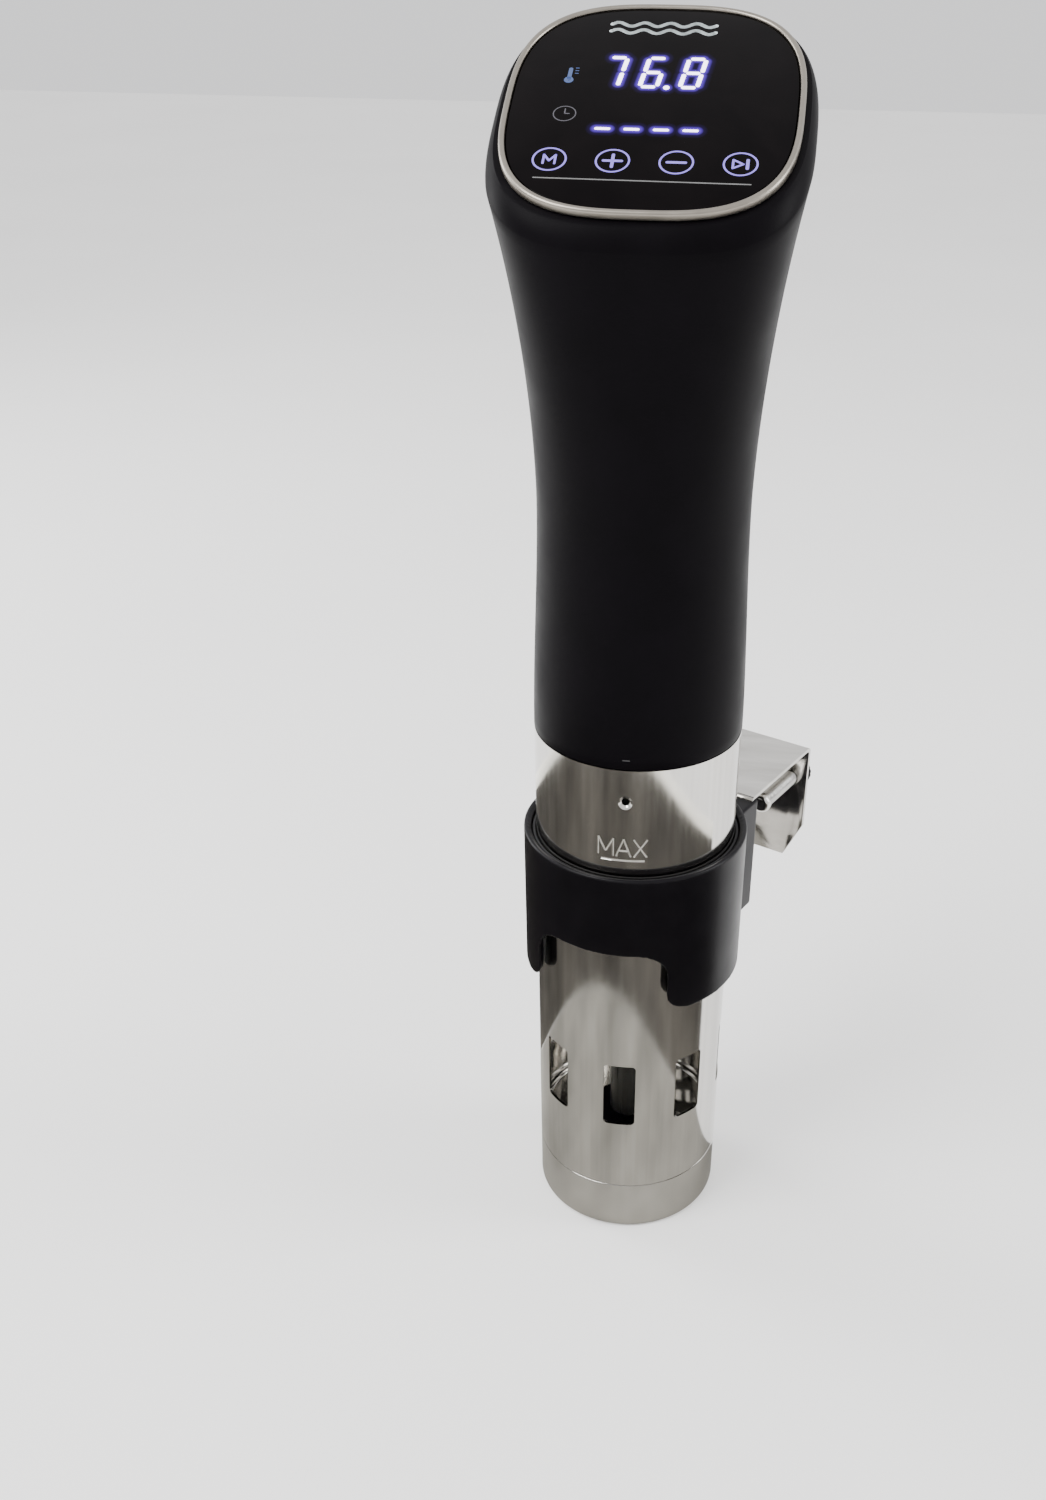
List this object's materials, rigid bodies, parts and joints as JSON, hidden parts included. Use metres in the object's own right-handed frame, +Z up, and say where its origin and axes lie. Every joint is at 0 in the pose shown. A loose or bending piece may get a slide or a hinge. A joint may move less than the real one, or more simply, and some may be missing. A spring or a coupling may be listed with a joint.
{
  "type": "sous vide circulator",
  "caption": "Immersion circulator stick with a slanted touch panel, a steel sleeve over its heater and pump, and a sliding pot clamp",
  "frame": {"origin": "middle of the flat foot, on the axis of the steel sleeve", "axes": "+Z up along the sleeve, the display panel faces -Y, +X to the right of someone who reads the panel"},
  "size_m": [0.1028, 0.1331, 0.3986],
  "materials": {
    "black_plastic": "fine matte moulded black plastic",
    "grey_plastic": "moulded dark grey plastic",
    "white_plastic": "moulded white plastic",
    "satin_silver": "satin warm silver",
    "display_glass": "gloss black tinted glass with violet and blue light showing through",
    "circuit_board": "green solder mask",
    "polished_steel": "mirror polished stainless steel",
    "brushed_steel": "brushed stainless steel",
    "aluminium": "plain aluminium",
    "brass": "plain brass",
    "copper": "copper windings",
    "rubber": "matte black rubber",
    "silicone": "red silicone"
  },
  "bodies": {
    "head": {"housing_shell": "black_plastic", "cord_gland": "rubber", "gland_nut": "grey_plastic", "display_bezel": "satin_silver", "display_glass": "display_glass", "display_board": "circuit_board", "digit_module": "white_plastic", "touch_spring_1": "brass", "touch_spring_2": "brass", "touch_spring_3": "brass", "touch_spring_4": "brass", "buzzer": "black_plastic", "power_board": "circuit_board", "transformer": "brass", "relay": "white_plastic", "filter_capacitor": "grey_plastic", "fuse_holder": "black_plastic", "heat_sink": "aluminium", "terminal_block": "grey_plastic", "lock_neck": "grey_plastic", "bulkhead_gasket": "silicone", "bulkhead_plate": "brushed_steel", "bulkhead_screw_1": "brushed_steel", "bulkhead_screw_2": "brushed_steel", "bulkhead_screw_3": "brushed_steel", "shaft_seal": "rubber", "motor_bracket": "brushed_steel", "motor_can": "brushed_steel", "shaft_guide": "brushed_steel", "shaft_bushing": "brass", "heater_tube_left": "brushed_steel", "heater_tube_right": "brushed_steel", "temperature_probe": "brushed_steel", "low_water_pin": "brushed_steel", "high_water_pin": "brushed_steel"},
    "pump": {"drive_shaft": "brushed_steel", "motor_rotor": "copper", "cooling_fan": "grey_plastic", "impeller": "black_plastic", "impeller_nut": "brass"},
    "sleeve": {"steel_sleeve": "polished_steel"},
    "foot": {"foot_cap": "polished_steel"},
    "slider": {"collar_liner": "rubber"},
    "clamp": {"clamp_collar": "black_plastic", "clamp_bracket": "polished_steel", "bracket_screw_left": "brushed_steel", "bracket_screw_right": "brushed_steel"},
    "left_foot": {"clamp_foot_left": "polished_steel"},
    "right_foot": {"clamp_foot_right": "polished_steel"},
    "left_screw": {"clamp_screw_left": "brushed_steel", "clamp_knob_left": "black_plastic"},
    "right_screw": {"clamp_screw_right": "brushed_steel", "clamp_knob_right": "black_plastic"}
  },
  "joints": [
    {"name": "pump_spin", "type": "hinge", "parent": "head", "child": "pump", "pos_m": [0, 0, 0.2], "axis": [0, 0, 1], "continuous": true},
    {"name": "sleeve_twist", "type": "hinge", "parent": "head", "child": "sleeve", "pos_m": [0, 0, 0.2], "axis": [0, 0, 1], "range_deg": [0, 20]},
    {"name": "foot_twist", "type": "hinge", "parent": "sleeve", "child": "foot", "pos_m": [0, 0, 0.02], "axis": [0, 0, 1], "range_deg": [0, 20]},
    {"name": "collar_slide", "type": "slide", "parent": "sleeve", "child": "slider", "axis": [0, 0, 1], "range_m": [-0.024, 0.02]},
    {"name": "collar_turn", "type": "hinge", "parent": "slider", "child": "clamp", "pos_m": [0, 0, 0.13], "axis": [0, 0, 1], "continuous": true},
    {"name": "left_foot_feed", "type": "slide", "parent": "clamp", "child": "left_foot", "axis": [0.4305, 0.9026, 0], "range_m": [0, 0.016]},
    {"name": "right_foot_feed", "type": "slide", "parent": "clamp", "child": "right_foot", "axis": [0.4305, 0.9026, 0], "range_m": [0, 0.016]},
    {"name": "left_screw_turn", "type": "hinge", "parent": "left_foot", "child": "left_screw", "pos_m": [0.01197, 0.06852, 0.1466], "axis": [0.4305, 0.9026, 0], "range_deg": [0, 5760]},
    {"name": "right_screw_turn", "type": "hinge", "parent": "right_foot", "child": "right_screw", "pos_m": [0.04572, 0.05242, 0.1466], "axis": [0.4305, 0.9026, 0], "range_deg": [0, 5760]}
  ],
  "couplings": [
    {"joint": "left_screw_turn", "follows": "left_foot_feed", "rad_per_m": 6283.2},
    {"joint": "right_screw_turn", "follows": "right_foot_feed", "rad_per_m": 6283.2}
  ]
}
